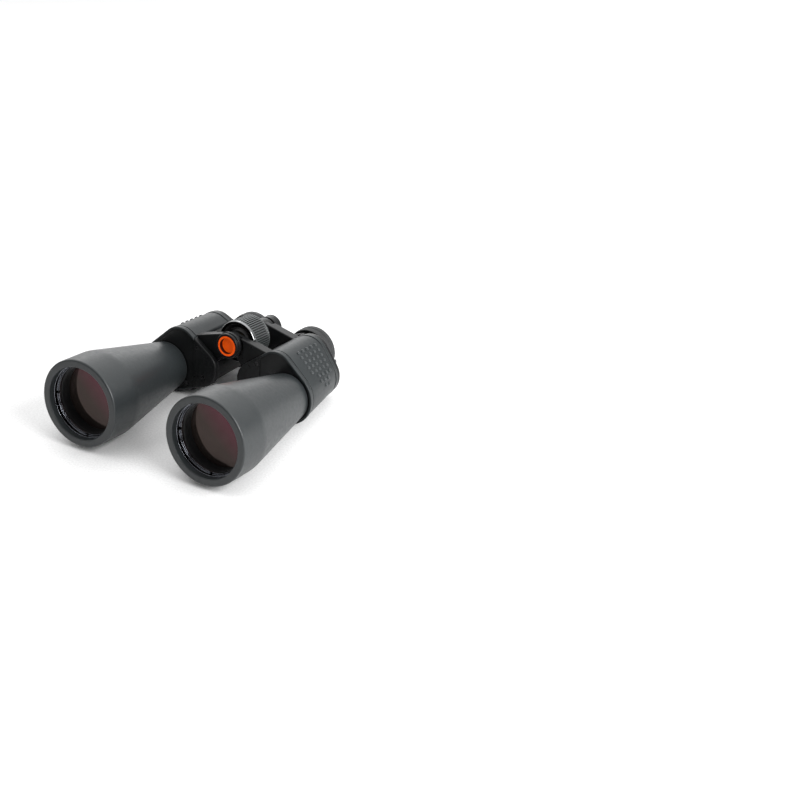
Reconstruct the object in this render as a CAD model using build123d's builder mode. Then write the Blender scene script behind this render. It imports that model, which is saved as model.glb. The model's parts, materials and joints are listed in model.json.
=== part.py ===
"""Centre-focus Porro prism binoculars, 60 mm class, lying on their objective hoods.

Frame: Y runs along the optical axes, from the objective rims (-Y) to the eyecups (+Y), X is the direction
between the two barrels, Z is up, and the origin is the bottom centre of the whole object. Millimetres.
Left and right are the user's, who looks along -Y: side is +1 for the left half, at +X, and -1 for the right.
"""
from build123d import *
import os
from math import atan2, degrees, hypot, sqrt

# --- Driving dimensions -------------------------------------------------------------------------------
LENGTH = 201.0  # objective rims to the back of the eyecups
RIM_RADIUS = 36.0  # outside of the objective hood, which rests on the ground
OBJECTIVE_X = 60.0  # half the distance between the two objective axes
HINGE_Z = 66.0  # height of the hinge and focus axis
EYE_X, EYE_Z = 31.0, 45.5  # eyepiece axis, so the eyes are 62 mm apart
RUNNING = 0.05  # radial clearance of a running or sliding fit
REST = 0.15  # air between two pieces that only lie beside each other

# --- Stations along Y, from the objective rims --------------------------------------------------------
RIM = -LENGTH / 2
LIP_END = RIM + 5.5  # back of the thick rubber lip round each objective
RING_FRONT = RIM + 9.0  # slotted retaining ring
LENS_FRONT = RIM + 20.0  # vertex of the objective lens
LENS_SEAT = LENS_FRONT + 3.0  # shoulder in front of the lens edge
LENS_LOCK = LENS_FRONT + 10.1  # shoulder behind it
CELL_BACK = LENS_FRONT + 12.4
HOOD_END = RIM + 28.0  # the cylindrical hood turns into the cone here
FACE = RIM + 112.0  # front edge of the prism housing
COVER_FRONT, COVER_BACK = FACE + 1.0, FACE + 5.0
ARM_FRONT, ARM_BACK = RIM + 118.0, RIM + 127.5  # front hinge arms
WHEEL_FRONT, WHEEL_BACK = RIM + 127.0, RIM + 150.0
SHELF = RIM + 139.0  # front of the prism shelf
REAR_ARM_FRONT, REAR_ARM_BACK = RIM + 160.0, RIM + 169.5
BODY_BACK = RIM + 167.0
REAR_COVER_BACK = BODY_BACK + 3.5
BRIDGE_FRONT, BRIDGE_SPLIT, BRIDGE_BACK = RIM + 172.2, RIM + 175.4, RIM + 178.6
EYE_RING_FRONT, EYE_RING_BACK = RIM + 179.2, RIM + 184.4
HEAD_FRONT, HEAD_BACK = RIM + 187.5, RIM + 194.5
EYECUP_FRONT, EYECUP_BACK = RIM + 189.5, LENGTH / 2

# --- Objective end ------------------------------------------------------------------------------------
LIP_INNER = 29.8
NECK_RADIUS = 20.3
RUBBER = 1.8  # thickness of the rubber skins
TUBE_WALL = 1.7
CELL_OUTER, CELL_INNER = 32.0, 27.7
LENS_RADIUS = 28.4
DROP = (RIM_RADIUS - NECK_RADIUS) / (FACE - HOOD_END)
CONE_RUBBER = RUBBER * sqrt(1 + DROP * DROP)  # the same skin, measured square to the axis on the cone

# --- Prism housing: three lobes (x, z, radius) whose hull is the outline, at its front and at its back ---
FRONT_LOBES = ((OBJECTIVE_X, RIM_RADIUS, 23.5), (48.0, 54.8, 17.3), (27.5, 40.5, 17.2))
REAR_LOBES = ((57.5, 39.5, 18.3), (48.0, 55.0, 17.3), (EYE_X, EYE_Z - 1.5, 19.8))
FRONT_SCREWS = ((29.4, 57.4), (23.6, 32.6), (41.5, 23.6))
REAR_SCREWS = ((48.5, 66.8), (70.6, 40.5), (50.0, 27.0))
SKIN = 1.7  # rubber armour over the casting
CASTING_WALL = 1.9
ARMOUR_INNER_X = 33.0  # the armour stops here, short of the hinge

# --- Hinge and focus ----------------------------------------------------------------------------------
LUG_RADIUS = 9.8
LUG_SWEEP = 12.3  # the other half's arm keeps clear of a lug by this radius
FRONT_SPLIT = RIM + 121.2  # right front lug ahead of this, left front lug behind
FRONT_LUG_BACK = RIM + 124.4
REAR_SPLIT = RIM + 164.8  # left rear lug ahead of this, right rear lug behind
PIN_RADIUS = 6.0
WHEEL_RADIUS = 17.6
HUB_RADIUS = WHEEL_RADIUS - 1.8
WHEEL_SWEEP = 20.0
SPINDLE_RADIUS = 4.45
TUBE_RADIUS = 6.5
SOCKET_HOLE = 2.6  # tapping radius of the 1/4 inch tripod thread
CAP_RADIUS = 11.2
BADGE_RADIUS = 8.5
DISH_DEPTH = 2.5  # the badge lines a dish this deep in the cap
PIN_FRONT = FACE + 4.2

# --- Eyepieces ----------------------------------------------------------------------------------------
SLEEVE_RADIUS = 13.0
COLLAR_PROUD = 0.5  # the sleeve's guide collar stands out of the rear cover by this
SLEEVE_BORE = 11.6
SLEEVE_FRONT = RIM + 160.0
OCULAR_FRONT = RIM + 159.5
OCULAR_BORE = 10.2
EYE_RING_RADIUS = 18.9
HEAD_RADIUS = 17.0
EYECUP_RADIUS = 21.0

SIDES = {"left": 1, "right": -1}
os.makedirs("parts", exist_ok=True)


def save(label, part):
    """Labels a finished piece and writes it as one STEP."""
    part.label = label
    export_step(part, f"parts/{label}.step")


def section(y):
    """Cross-section plane at a station: local x is X, local y is Z, and extruding by -d goes rearwards."""
    return Plane.XZ.offset(-y)


def turned(x, z, *outline):
    """A turned piece about the axis through (x, z) along Y, from its (station, radius) outline."""
    with BuildPart() as piece:
        with BuildSketch(Plane(origin=(x, 0, z), x_dir=(0, 1, 0), z_dir=(1, 0, 0))):
            with BuildLine():
                Polyline(*outline, close=True)
            make_face()
        revolve(axis=Axis((x, 0, z), (0, 1, 0)))
    return piece.part


def ring(x, z, y_front, y_back, inner, outer):
    """A plain ring about the axis through (x, z)."""
    return turned(x, z, (y_front, inner), (y_front, outer), (y_back, outer), (y_back, inner))


def plate(y_front, y_back, *points):
    """A flat plate square to Y with a polygon outline given as (x, z) points."""
    with BuildPart() as piece:
        with BuildSketch(section(y_front)):
            with BuildLine():
                Polyline(*points, close=True)
            make_face()
        extrude(amount=y_front - y_back)
    return piece.part


def lens(x, z, y_front, y_back, radius, front_curve, back_curve):
    """A lens with its vertices at y_front and y_back. A curve above 0 bulges outwards, below 0 is hollow."""

    def sag(curve, r):
        return (abs(curve) - sqrt(curve * curve - r * r)) * (1 if curve > 0 else -1)

    half = radius / 2
    with BuildPart() as piece:
        with BuildSketch(Plane(origin=(x, 0, z), x_dir=(0, 1, 0), z_dir=(1, 0, 0))):
            with BuildLine():
                front_edge = (y_front + sag(front_curve, radius), radius)
                back_edge = (y_back - sag(back_curve, radius), radius)
                ThreePointArc((y_front, 0), (y_front + sag(front_curve, half), half), front_edge)
                Line(front_edge, back_edge)
                ThreePointArc(back_edge, (y_back - sag(back_curve, half), half), (y_back, 0))
                Line((y_back, 0), (y_front, 0))
            make_face()
        revolve(axis=Axis((x, 0, z), (0, 1, 0)))
    return piece.part


# --- Prism housing ------------------------------------------------------------------------------------
def lobes_at(y):
    """The three lobes of the housing outline at a station, tapering from front to back."""
    share = (y - FACE) / (BODY_BACK - FACE)
    return [
        tuple(a + (b - a) * share for a, b in zip(front, rear))
        for front, rear in zip(FRONT_LOBES, REAR_LOBES)
    ]


def body_block(side, y_front, y_back, inset, tapered=True):
    """The solid inside the housing outline, drawn in by inset, between two stations."""
    with BuildPart() as block:
        for y in (y_front, y_back):
            with BuildSketch(section(y)):
                for x, z, radius in lobes_at(y if tapered else y_front):
                    with Locations((side * x, z)):
                        Circle(radius - inset)
                make_hull()
        loft()
    return block.part


def hinge_arms(side, clearance=0.0):
    """The front and rear arms of one half, with its two lugs, before anything is cut from them."""
    own_lugs = {
        1: ((FRONT_SPLIT + REST, FRONT_LUG_BACK), (REAR_ARM_FRONT, REAR_SPLIT - REST)),
        -1: ((ARM_FRONT, FRONT_SPLIT), (REAR_SPLIT, REAR_ARM_BACK)),
    }[side]
    other_lugs = {
        1: ((ARM_FRONT, FRONT_SPLIT + REST), (REAR_SPLIT - REST, REAR_ARM_BACK)),
        -1: ((FRONT_SPLIT, FRONT_LUG_BACK + REST), (REAR_ARM_FRONT, REAR_SPLIT)),
    }[side]
    bands = ((ARM_FRONT, ARM_BACK), (REAR_ARM_FRONT, REAR_ARM_BACK))
    top = HINGE_Z + LUG_RADIUS
    with BuildPart() as arms:
        for y_front, y_back in bands:
            with BuildSketch(section(y_front - clearance)):
                with BuildLine():
                    Polyline(
                        (side * 2.5, top - 0.6),
                        (side * 43.0, 64.6 + clearance),
                        (side * 43.0, 45.0),
                        (side * 15.0, 46.0),
                        (side * 3.0, 58.5),
                        close=True,
                    )
                make_face()
            extrude(amount=y_front - y_back - 2 * clearance)
        long_edges = arms.edges().filter_by(Axis.Y, reverse=True).filter_by(
            lambda edge: edge.length > 25 and edge.center().Z > 60
        )
        fillet(long_edges, radius=0.9)
        for y_front, y_back in other_lugs:
            with BuildSketch(section(y_front - 0.01)):
                with Locations((0, HINGE_Z)):
                    Circle(LUG_SWEEP)
            extrude(amount=y_front - y_back - 0.02, mode=Mode.SUBTRACT)
        with BuildSketch(section(FRONT_LUG_BACK)):
            with Locations((0, HINGE_Z)):
                Circle(WHEEL_SWEEP)
        extrude(amount=FRONT_LUG_BACK - WHEEL_BACK, mode=Mode.SUBTRACT)
        for y_front, y_back in own_lugs:
            with BuildSketch(section(y_front)):
                with Locations((0, HINGE_Z)):
                    Circle(LUG_RADIUS)
            extrude(amount=y_front - y_back)
    return arms.part


def prism_housing(side):
    """Casting: a thin-walled tapering box open at both ends, with the hinge arms and their bored lugs."""
    bores = {1: (PIN_RADIUS + RUNNING, TUBE_RADIUS + RUNNING), -1: (PIN_RADIUS, TUBE_RADIUS)}[side]
    with BuildPart() as casting:
        add(body_block(side, COVER_BACK, BODY_BACK, SKIN + RUNNING))
        add(hinge_arms(side))
        add(body_block(side, COVER_BACK - 1, BODY_BACK + 1, SKIN + CASTING_WALL), mode=Mode.SUBTRACT)
        add(body_block(side, BODY_BACK, REAR_ARM_BACK + 1, 0.4 - REST, tapered=False), mode=Mode.SUBTRACT)
        for bore, (y_front, y_back) in zip(bores, ((ARM_FRONT, ARM_BACK), (REAR_ARM_FRONT, REAR_ARM_BACK))):
            with BuildSketch(section(y_front - 1)):
                with Locations((0, HINGE_Z)):
                    Circle(bore)
            extrude(amount=y_front - y_back - 2, mode=Mode.SUBTRACT)
    return casting.part


def body_armour(side):
    """Rubber armour that wraps the outer side of the housing and stops short of the hinge."""
    with BuildPart() as armour:
        add(body_block(side, FACE, BODY_BACK - REST, 0))
        add(body_block(side, FACE - 1, BODY_BACK + 1, SKIN), mode=Mode.SUBTRACT)
        with BuildSketch(section(FACE - 1)):
            with Locations((side * ARMOUR_INNER_X / 2, HINGE_Z - 20)):
                Rectangle(ARMOUR_INNER_X, 100)
        extrude(amount=FACE - BODY_BACK - 2, mode=Mode.SUBTRACT)
        add(hinge_arms(side, clearance=0.1), mode=Mode.SUBTRACT)
    return armour.part


def screw_points(side, front):
    """Where the three screws of a cover go."""
    places = FRONT_SCREWS if front else REAR_SCREWS
    return [(side * x, z) for x, z in places]


def inner_flange(side):
    """The front cover's thick edge on the hinge side, flush with the armour that it meets."""
    width = ARMOUR_INNER_X - REST
    with BuildPart() as flange:
        add(body_block(side, FACE + 0.3, COVER_BACK - RUNNING, 0.1))
        fillet(flange.faces().sort_by(Axis.Y)[0].edges(), radius=1.2)
        with BuildSketch(section(FACE)):
            with Locations((side * width / 2, HINGE_Z - 20)):
                Rectangle(width, 100)
        extrude(amount=FACE - COVER_BACK, mode=Mode.INTERSECT)
    return flange.part


def front_cover(side):
    """Flat cover that the objective tube screws into."""
    with BuildPart() as cover:
        add(body_block(side, COVER_FRONT, COVER_BACK, SKIN + RUNNING))
        add(inner_flange(side))
        with BuildSketch(section(FACE - 1)):
            with Locations((side * OBJECTIVE_X, RIM_RADIUS)):
                Circle(NECK_RADIUS - CONE_RUBBER)
            with Locations(*screw_points(side, True)):
                Circle(1.1)
        extrude(amount=-7, mode=Mode.SUBTRACT)
        with BuildSketch(section(FACE - 1)):
            with Locations(*screw_points(side, True)):
                Circle(1.9)
        extrude(amount=-3.4, mode=Mode.SUBTRACT)
    return cover.part


def rear_cover(side):
    """Flat cover at the eyepiece end, with the collar that guides the eyepiece sleeve."""
    with BuildPart() as cover:
        add(body_block(side, BODY_BACK, REAR_COVER_BACK, 0.4, tapered=False))
        rim_edges = cover.faces().sort_by(Axis.Y)[-1].edges()
        fillet(rim_edges, radius=0.9)
        collar_back = REAR_COVER_BACK + COLLAR_PROUD
        add(ring(side * EYE_X, EYE_Z, BODY_BACK - 3.5, collar_back, 5, SLEEVE_RADIUS + 0.65))
        with BuildSketch(section(BODY_BACK - 5)):
            with Locations((side * EYE_X, EYE_Z)):
                Circle(SLEEVE_RADIUS + RUNNING)
            with Locations(*screw_points(side, False)):
                Circle(1.1)
        extrude(amount=-15, mode=Mode.SUBTRACT)
        with BuildSketch(section(REAR_COVER_BACK - 1.5)):
            with Locations(*screw_points(side, False)):
                Circle(1.9)
        extrude(amount=-3, mode=Mode.SUBTRACT)
    return cover.part


def cover_screws(side):
    """Six cross-head screws, three in each cover."""
    with BuildPart() as screws:
        for front, head, inwards in ((True, COVER_FRONT + 0.1, 1), (False, REAR_COVER_BACK - 0.1, -1)):
            with BuildSketch(section(head)):
                with Locations(*screw_points(side, front)):
                    Circle(1.75)
            extrude(amount=-1.25 * inwards)
            with BuildSketch(section(head)):
                with Locations(*screw_points(side, front)):
                    Circle(1.0)
            extrude(amount=-3.4 * inwards)
            with BuildSketch(section(head)):
                with Locations(*screw_points(side, front)):
                    Rectangle(2.2, 0.5)
                    Rectangle(0.5, 2.2)
            extrude(amount=-0.7 * inwards, mode=Mode.SUBTRACT)
    return screws.part


def strap_lug(side):
    """Loop for the neck strap, standing on the rear cover: an 11 x 5 mm opening in a 3 mm plate."""
    with BuildPart() as lug:
        with BuildSketch(Plane.YZ.offset(side * 64.0)):
            with Locations((REAR_COVER_BACK + 5.0, 42.5)):
                Rectangle(10.0, 16.0)
        extrude(amount=1.5, both=True)
        fillet(lug.edges().filter_by(Axis.X).sort_by(Axis.Y)[-2:], radius=2.2)
        with BuildSketch(Plane.YZ.offset(side * 64.0)):
            with Locations((REAR_COVER_BACK + 4.9, 42.5)):
                RectangleRounded(5.0, 11.0, 1.2)
        extrude(amount=5, both=True, mode=Mode.SUBTRACT)
        slot_edges = lug.edges().filter_by_position(Axis.Y, REAR_COVER_BACK + 0.5, LENGTH)
        fillet(slot_edges.filter_by(Axis.X, reverse=True).filter_by(Plane.YZ), radius=0.5)
    return lug.part


# --- Prisms: the beam steps sideways once in each, and ends on the eyepiece axis -----------------------
STEP_X, STEP_Z = OBJECTIVE_X - EYE_X, EYE_Z - RIM_RADIUS
OFFSET = hypot(STEP_X, STEP_Z) / sqrt(2)  # sideways step in one prism
MIDDLE_X = (OBJECTIVE_X + EYE_X + STEP_Z) / 2  # where the beam passes from the rear to the front prism
MIDDLE_Z = (RIM_RADIUS + EYE_Z + STEP_X) / 2
PRISM_WIDTH = 16.5


def porro_prism(side, ends, y_face, apex):
    """Right-angle prism over the segment between two (x, z) ends, with its apex forward (-1) or back (+1)."""
    (x_a, z_a), (x_b, z_b) = ((side * x, z) for x, z in ends)
    length = 2 * OFFSET
    middle = ((x_a + x_b) / 2, (z_a + z_b) / 2)
    along = ((x_b - x_a) / OFFSET, (z_b - z_a) / OFFSET)
    turn = degrees(atan2(along[1], along[0]))
    profile_plane = Plane(
        origin=(middle[0], y_face, middle[1]),
        x_dir=(along[0], 0, along[1]),
        z_dir=(along[1], 0, -along[0]),
    )
    with BuildPart() as prism:
        with BuildSketch(profile_plane):
            with BuildLine():
                tip = length / 2 - 1.2
                Polyline(
                    (-length / 2, 0),
                    (length / 2, 0),
                    (1.2, -apex * tip),
                    (-1.2, -apex * tip),
                    close=True,
                )
            make_face()
        extrude(amount=PRISM_WIDTH / 2, both=True)
        with BuildSketch(section(y_face - 30)):
            with Locations(Location((middle[0], middle[1]), turn)):
                RectangleRounded(length, PRISM_WIDTH, 5.5)
        extrude(amount=-60, mode=Mode.INTERSECT)
    return prism.part


def prism_shelf(side):
    """Plate across the housing that carries both prisms, with a hole for each pass of the beam."""
    passes = ((OBJECTIVE_X, RIM_RADIUS), (MIDDLE_X, MIDDLE_Z), (EYE_X, EYE_Z))
    with BuildPart() as shelf:
        add(body_block(side, SHELF, SHELF + 1.4, SKIN + CASTING_WALL + 0.25))
        with BuildSketch(section(SHELF - 1)):
            with Locations(*[(side * x, z) for x, z in passes]):
                Circle(7.8)
        extrude(amount=-4, mode=Mode.SUBTRACT)
    return shelf.part


def prism_clips(side):
    """Two sprung straps, one over the apex of each prism, footed on the shelf."""
    foot = PRISM_WIDTH / 2 + 0.1
    with BuildPart() as clips:
        for ends, y_face, apex in prism_seats():
            (x_a, z_a), (x_b, z_b) = ((side * x, z) for x, z in ends)
            along = ((x_b - x_a) / OFFSET, (z_b - z_a) / OFFSET)
            across = Plane(
                origin=((x_a + x_b) / 2, y_face, (z_a + z_b) / 2),
                x_dir=(-along[1], 0, along[0]),
                z_dir=(-along[0], 0, -along[1]),
            )
            rise = apex * (OFFSET - 1.2 + 0.05)
            with BuildSketch(across):
                with BuildLine():
                    Polyline((-foot, 0), (-foot, rise), (foot, rise), (foot, 0))
                    offset(amount=0.3, side=Side.LEFT if apex > 0 else Side.RIGHT)
                make_face()
            extrude(amount=2.5, both=True)
    return clips.part


def prism_seats():
    """Ends, face station and apex direction of the rear prism and of the front prism."""
    objective, middle, eye = (OBJECTIVE_X, RIM_RADIUS), (MIDDLE_X, MIDDLE_Z), (EYE_X, EYE_Z)
    return ((objective, middle), SHELF + 1.45, 1), ((middle, eye), SHELF - 0.05, -1)


# --- Objective end ------------------------------------------------------------------------------------
def barrel_armour(side):
    """Rubber skin of the barrel: cylindrical hood with a thick front lip, then the cone to the housing."""
    return turned(
        side * OBJECTIVE_X,
        RIM_RADIUS,
        (RIM, LIP_INNER + 0.6),
        (RIM, RIM_RADIUS - 0.8),
        (RIM + 0.8, RIM_RADIUS),
        (HOOD_END, RIM_RADIUS),
        (FACE, NECK_RADIUS),
        (FACE, NECK_RADIUS - CONE_RUBBER),
        (HOOD_END - 1, RIM_RADIUS - RUBBER),
        (LIP_END, RIM_RADIUS - RUBBER),
        (LIP_END, LIP_INNER),
        (RIM + 0.6, LIP_INNER),
    )


def objective_tube(side):
    """Light alloy tube under the rubber, spigoted into the front cover."""
    hood = RIM_RADIUS - RUBBER - RUNNING
    neck = NECK_RADIUS - CONE_RUBBER - RUNNING
    return turned(
        side * OBJECTIVE_X,
        RIM_RADIUS,
        (LIP_END + RUNNING, hood),
        (HOOD_END - 1.2, hood),
        (FACE, neck),
        (COVER_BACK, neck),
        (COVER_BACK, neck - TUBE_WALL),
        (FACE, neck - TUBE_WALL),
        (CELL_BACK + 1.1, CELL_OUTER),
        (LIP_END + RUNNING, CELL_OUTER),
    )


def lens_cell(side):
    """Black ring that seats the objective lens pair, with a light-trap wall in front of the glass."""
    return turned(
        side * OBJECTIVE_X,
        RIM_RADIUS,
        (RING_FRONT + 3.2, CELL_INNER + 0.5),
        (RING_FRONT + 3.2, CELL_OUTER - RUNNING),
        (CELL_BACK, CELL_OUTER - RUNNING),
        (CELL_BACK, CELL_INNER - 1.0),
        (LENS_LOCK, CELL_INNER - 1.0),
        (LENS_LOCK, LENS_RADIUS + RUNNING),
        (LENS_SEAT, LENS_RADIUS + RUNNING),
        (LENS_SEAT, CELL_INNER),
    )


def retaining_ring(side):
    """Threaded ring that locks the cell, with four spanner slots in its front face."""
    x, inner, outer = side * OBJECTIVE_X, CELL_INNER + 0.8, CELL_OUTER - 0.1
    with BuildPart() as piece:
        add(ring(x, RIM_RADIUS, RING_FRONT, RING_FRONT + 3.0, inner, outer))
        with BuildSketch(section(RING_FRONT)):
            with Locations((side * OBJECTIVE_X, RIM_RADIUS)):
                Rectangle(80, 2.0)
                Rectangle(2.0, 80)
        extrude(amount=-1.4, mode=Mode.SUBTRACT)
    return piece.part


def crown_lens(side):
    """Front element of the objective pair, bulging on both faces."""
    return lens(side * OBJECTIVE_X, RIM_RADIUS, LENS_FRONT, LENS_FRONT + 8.0, LENS_RADIUS, 128.0, 150.0)


def flint_lens(side):
    """Rear element, hollow in front where the crown beds into it."""
    y_front, y_back = LENS_FRONT + 8.05, LENS_FRONT + 10.4
    return lens(side * OBJECTIVE_X, RIM_RADIUS, y_front, y_back, LENS_RADIUS, -150.0, 900.0)


# --- Eyepieces ----------------------------------------------------------------------------------------
def eyepiece_sleeve(side):
    """Sleeve that the bridge arm carries and that slides in the rear cover's collar."""
    return ring(side * EYE_X, EYE_Z, SLEEVE_FRONT, EYE_RING_BACK, SLEEVE_BORE, SLEEVE_RADIUS)


def eyepiece_ring(side):
    """Ring with finger flutes behind the bridge. On the right it turns and sets the dioptre."""
    flutes = 36
    with BuildPart() as piece:
        add(
            turned(
                side * EYE_X,
                EYE_Z,
                (EYE_RING_FRONT, SLEEVE_RADIUS + RUNNING),
                (EYE_RING_FRONT, EYE_RING_RADIUS - 0.4),
                (EYE_RING_FRONT + 0.4, EYE_RING_RADIUS),
                (EYE_RING_BACK - 0.4, EYE_RING_RADIUS),
                (EYE_RING_BACK, EYE_RING_RADIUS - 0.4),
                (EYE_RING_BACK, SLEEVE_RADIUS + RUNNING),
            )
        )
        with BuildSketch(section(EYE_RING_FRONT - 1)):
            with Locations((side * EYE_X, EYE_Z)):
                with PolarLocations(EYE_RING_RADIUS + 0.2, flutes):
                    Circle(0.55)
        extrude(amount=EYE_RING_FRONT - EYE_RING_BACK - 2, mode=Mode.SUBTRACT)
    return piece.part


def ocular_barrel(side):
    """Inner tube of the eyepiece with its wide head, dished towards the eye lens."""
    return turned(
        side * EYE_X,
        EYE_Z,
        (OCULAR_FRONT, OCULAR_BORE),
        (OCULAR_FRONT, SLEEVE_BORE - RUNNING),
        (HEAD_FRONT, SLEEVE_BORE - RUNNING),
        (HEAD_FRONT, HEAD_RADIUS - 0.5),
        (HEAD_FRONT + 0.5, HEAD_RADIUS),
        (HEAD_BACK - 0.5, HEAD_RADIUS),
        (HEAD_BACK, HEAD_RADIUS - 0.5),
        (HEAD_BACK, 14.2),
        (HEAD_BACK - 2.4, 10.4),
        (HEAD_BACK - 2.4, 9.6),
        (HEAD_BACK - 3.2, 9.6),
        (HEAD_BACK - 3.2, OCULAR_BORE),
    )


def eye_lens(side):
    """Lens nearest the eye."""
    return lens(side * EYE_X, EYE_Z, HEAD_BACK - 8.6, HEAD_BACK - 3.25, OCULAR_BORE - RUNNING, 60.0, 42.0)


def field_lens(side):
    """Lens at the inner end of the eyepiece."""
    y_front, y_back = OCULAR_FRONT + 1.0, OCULAR_FRONT + 7.0
    return lens(side * EYE_X, EYE_Z, y_front, y_back, OCULAR_BORE - RUNNING, 48.0, 48.0)


def eyecup(side):
    """Soft rubber cup on the head of the eyepiece."""
    web = HEAD_BACK - 2.0
    bore = HEAD_RADIUS + RUNNING
    return turned(
        side * EYE_X,
        EYE_Z,
        (EYECUP_FRONT, EYE_RING_RADIUS + 0.6),
        (EYECUP_FRONT, EYECUP_RADIUS - 0.6),
        (EYECUP_FRONT + 4.0, EYECUP_RADIUS),
        (EYECUP_BACK - 0.8, EYECUP_RADIUS),
        (EYECUP_BACK, EYECUP_RADIUS - 0.8),
        (EYECUP_BACK, EYECUP_RADIUS - 2.0),
        (EYECUP_BACK - 0.8, EYECUP_RADIUS - 2.6),
        (web + 1.8, bore),
        (web, bore),
        (web, EYE_RING_RADIUS + 0.6),
    )


# --- Hinge, focus wheel and bridge ----------------------------------------------------------------------
def hinge_pin():
    """Front hinge pin: runs through both front lugs, with a threaded nose for the socket cap."""
    return turned(
        0,
        HINGE_Z,
        (PIN_FRONT, 4.5),
        (PIN_FRONT, 7.6),
        (PIN_FRONT + 0.4, 8.0),
        (ARM_FRONT, 8.0),
        (ARM_FRONT, PIN_RADIUS),
        (FRONT_LUG_BACK + REST, PIN_RADIUS),
        (FRONT_LUG_BACK + REST, 4.5),
    )


def tripod_socket():
    """Brass insert with the 1/4 inch tripod thread, drawn at its tapping size."""
    return ring(0, HINGE_Z, PIN_FRONT, PIN_FRONT + 10.0, SOCKET_HOLE, 4.5)


def socket_cap():
    """Screw cap over the tripod socket, with a deep round recess in its face."""
    recess = FACE + DISH_DEPTH + 0.5
    return turned(
        0,
        HINGE_Z,
        (recess, 0),
        (recess, BADGE_RADIUS + 0.1),
        (FACE, BADGE_RADIUS + 0.1),
        (FACE, CAP_RADIUS - 1.0),
        (FACE + 0.3, CAP_RADIUS - 0.3),
        (FACE + 1.0, CAP_RADIUS),
        (ARM_FRONT - REST, CAP_RADIUS),
        (ARM_FRONT - REST, 8.0 + RUNNING),
        (PIN_FRONT - 0.1, 8.0 + RUNNING),
        (PIN_FRONT - 0.1, 0),
    )


def cap_badge():
    """Plain dish that lines the recess in the socket cap."""
    return turned(
        0,
        HINGE_Z,
        (FACE + DISH_DEPTH, 0),
        (FACE + DISH_DEPTH, BADGE_RADIUS - 1.9),
        (FACE + 0.15, BADGE_RADIUS - 1.5),
        (FACE + 0.15, BADGE_RADIUS),
        (FACE + DISH_DEPTH + 0.5, BADGE_RADIUS),
        (FACE + DISH_DEPTH + 0.5, 0),
    )


def hinge_tube():
    """Rear hinge tube, fast in the right lug, which the focus spindle slides through."""
    return ring(0, HINGE_Z, WHEEL_BACK + 0.6, REAR_ARM_BACK + 0.1, SPINDLE_RADIUS + 0.1, TUBE_RADIUS)


def focus_spindle():
    """Coarse-threaded spindle that the wheel winds in and out, with the bridge on its end."""
    grooves = 10
    pitch = 1.6
    root = SPINDLE_RADIUS - 0.4
    outline = [(RIM + 128.0, 0), (RIM + 128.0, SPINDLE_RADIUS)]
    for turn_number in range(grooves):
        start = RIM + 129.0 + turn_number * pitch
        outline += [(start, SPINDLE_RADIUS), (start + 0.4, root), (start + 0.8, SPINDLE_RADIUS)]
    outline += [(BRIDGE_BACK + REST, SPINDLE_RADIUS), (BRIDGE_BACK + REST, 0)]
    return turned(0, HINGE_Z, *outline)


def focus_nut():
    """Brass nut in the middle of the wheel."""
    return ring(0, HINGE_Z, WHEEL_FRONT + 1.8, WHEEL_BACK - 0.4, SPINDLE_RADIUS + RUNNING, 8.0)


def wheel_hub():
    """Core of the focus wheel, dished at the front."""
    return turned(
        0,
        HINGE_Z,
        (WHEEL_FRONT + 1.8, 8.0),
        (WHEEL_FRONT + 1.8, 9.0),
        (WHEEL_FRONT + 4.4, 12.0),
        (WHEEL_FRONT + 1.0, 14.4),
        (WHEEL_FRONT + 1.0, HUB_RADIUS),
        (WHEEL_BACK, HUB_RADIUS),
        (WHEEL_BACK, 8.0),
    )


def wheel_grip():
    """Ribbed rubber tyre of the focus wheel."""
    ribs = 60
    with BuildPart() as piece:
        add(ring(0, HINGE_Z, WHEEL_FRONT + 2.6, WHEEL_BACK - 0.2, HUB_RADIUS + RUNNING, WHEEL_RADIUS))
        with BuildSketch(section(WHEEL_FRONT)):
            with Locations((0, HINGE_Z)):
                with PolarLocations(WHEEL_RADIUS + 0.15, ribs):
                    Circle(0.55)
        extrude(amount=WHEEL_FRONT - WHEEL_BACK - 1, mode=Mode.SUBTRACT)
    return piece.part


def wheel_trim():
    """Bright ring round the front edge of the focus wheel."""
    return turned(
        0,
        HINGE_Z,
        (WHEEL_FRONT, HUB_RADIUS - 0.6),
        (WHEEL_FRONT, WHEEL_RADIUS - 1.1),
        (WHEEL_FRONT + 0.9, WHEEL_RADIUS),
        (WHEEL_FRONT + 2.5, WHEEL_RADIUS),
        (WHEEL_FRONT + 2.5, HUB_RADIUS + RUNNING),
        (WHEEL_FRONT + 0.95, HUB_RADIUS + RUNNING),
        (WHEEL_FRONT + 0.95, HUB_RADIUS - 0.6),
    )


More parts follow.
